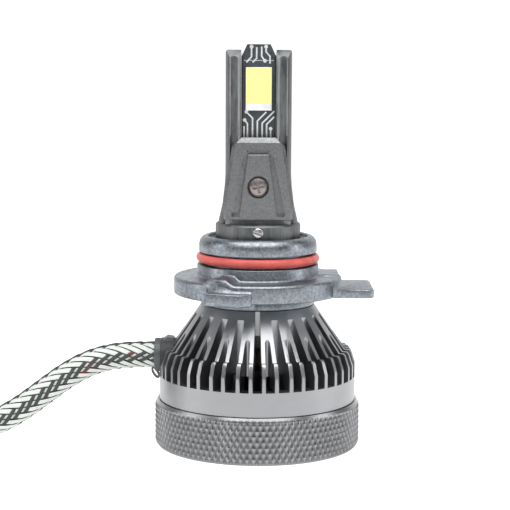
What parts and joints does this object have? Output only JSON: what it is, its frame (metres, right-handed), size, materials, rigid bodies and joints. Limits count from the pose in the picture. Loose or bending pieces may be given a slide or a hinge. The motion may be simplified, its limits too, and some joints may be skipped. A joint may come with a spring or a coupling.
{
  "type": "headlight bulb",
  "caption": "LED headlight bulb with light boards on a tall stem, a turning flanged adapter with a seal, a finned heat sink, a base fan and a short braided lead.",
  "frame": {"origin": "centre of the base's resting face, on the bulb's axis", "axes": "+Z from the base to the tip along the bulb's axis; -Y is the side of the front LED; +X is the side of the adapter's long tab, and the lead leaves towards -X"},
  "size_m": [0.1197, 0.0638, 0.066],
  "materials": {
    "ring_metal": "knurled and satin",
    "sink_metal": "turned, satin",
    "cast_metal": "blasted with polished edges",
    "stem_metal": "fine blasted",
    "clamp_metal": "blasted",
    "bright_steel": "bright",
    "board": "solder mask",
    "led_white": "matt white",
    "phosphor": "yellow silicone",
    "copper": "bare copper",
    "green_board": "solder mask",
    "black_plastic": "moulded",
    "tie_plastic": "moulded nylon",
    "black_rubber": "soft",
    "red_seal": "silicone",
    "wire_red": "wire insulation",
    "capacitor": "shrink sleeve",
    "ferrite": "ferrite",
    "magnet": "bonded magnet",
    "bronze": "sintered",
    "braid": "black and white braid",
    "contact": "tinned"
  },
  "bodies": {
    "lamp": {"knurled_ring": "ring_metal", "heat_sink": "sink_metal", "cord_grommet": "black_rubber", "cable_tie": "tie_plastic", "supply_leads": "wire_red", "driver_board": "green_board", "driver_coil": "ferrite", "driver_capacitors": "capacitor", "driver_chips": "black_plastic", "driver_screws": "bright_steel", "led_wires": "wire_red", "fan_frame": "black_plastic", "fan_bearings": "bronze", "fan_board": "green_board", "stator_core": "bright_steel", "stator_coils": "copper", "fan_screws": "bright_steel", "lamp_stem": "stem_metal", "locking_pins": "bright_steel", "copper_core": "copper", "front_board": "board", "rear_board": "board", "front_led": "led_white", "rear_led": "led_white", "front_phosphor": "phosphor", "rear_phosphor": "phosphor", "front_clamp": "clamp_metal", "rear_clamp": "clamp_metal", "clamp_screws": "bright_steel", "cord": "braid", "cord_coil": "braid", "cord_tail": "braid", "plug_seal": "black_rubber", "plug_shell": "black_plastic", "plug_contacts": "contact"},
    "fan": {"fan_rotor": "black_plastic", "rotor_magnet": "magnet", "fan_shaft": "bright_steel", "shaft_clip": "bright_steel"},
    "adapter": {"adapter_ring": "cast_metal", "o_ring": "red_seal"}
  },
  "joints": [
    {"name": "fan_spin", "type": "hinge", "parent": "lamp", "child": "fan", "pos_m": [0, 0, 0.004], "axis": [0, 0, 1], "continuous": true},
    {"name": "adapter_turn", "type": "hinge", "parent": "lamp", "child": "adapter", "pos_m": [0, 0, 0.029], "axis": [0, 0, 1], "continuous": true}
  ]
}
